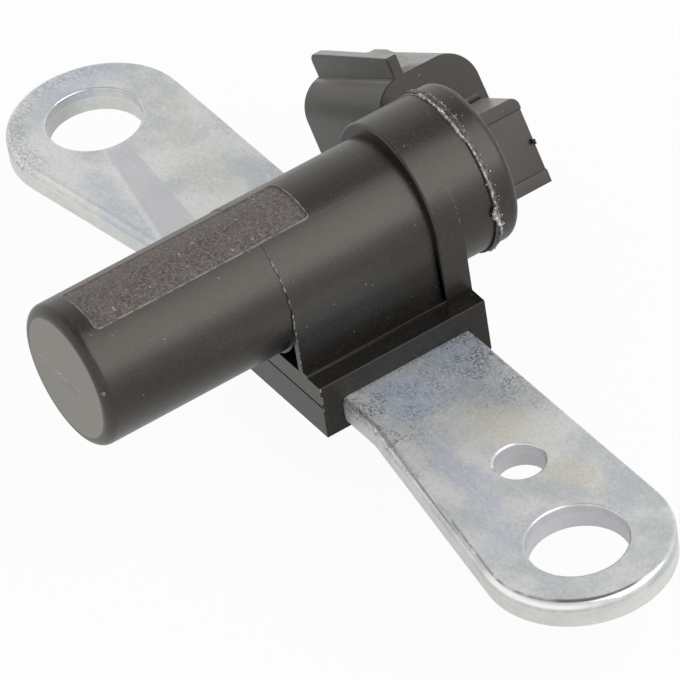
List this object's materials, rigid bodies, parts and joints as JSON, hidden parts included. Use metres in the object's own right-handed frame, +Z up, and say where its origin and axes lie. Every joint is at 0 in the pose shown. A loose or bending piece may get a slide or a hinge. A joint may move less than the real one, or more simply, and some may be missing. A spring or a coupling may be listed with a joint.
{
  "type": "crankshaft position sensor",
  "caption": "Crankshaft position sensor: dark plastic pick-up barrel and side connector moulded on a zinc-plated steel bracket",
  "frame": {"origin": "midway between the two bolt holes, on the underside of the bracket", "axes": "+X along the bracket, +Y from the sensing tip to the connector, +Z up through the bracket to the barrel"},
  "size_m": [0.1092, 0.0595, 0.032],
  "materials": {
    "zinc_steel": "zinc plated and passivated, slightly grainy",
    "housing_plastic": "satin moulded, glass-filled",
    "cap_plastic": "satin moulded, glass-filled",
    "bobbin_plastic": "natural moulded",
    "copper": "enamelled copper wire",
    "tape": "thin polyester tape",
    "soft_iron": "turned",
    "magnet": "ground",
    "terminal_brass": "tin-plated contact strip"
  },
  "bodies": {
    "root": {"bracket": "zinc_steel", "housing": "housing_plastic", "end_cap": "cap_plastic", "bobbin": "bobbin_plastic", "winding": "copper", "winding_tape": "tape", "pole_piece": "soft_iron", "magnet": "magnet", "upper_terminal": "terminal_brass", "lower_terminal": "terminal_brass"}
  },
  "joints": []
}
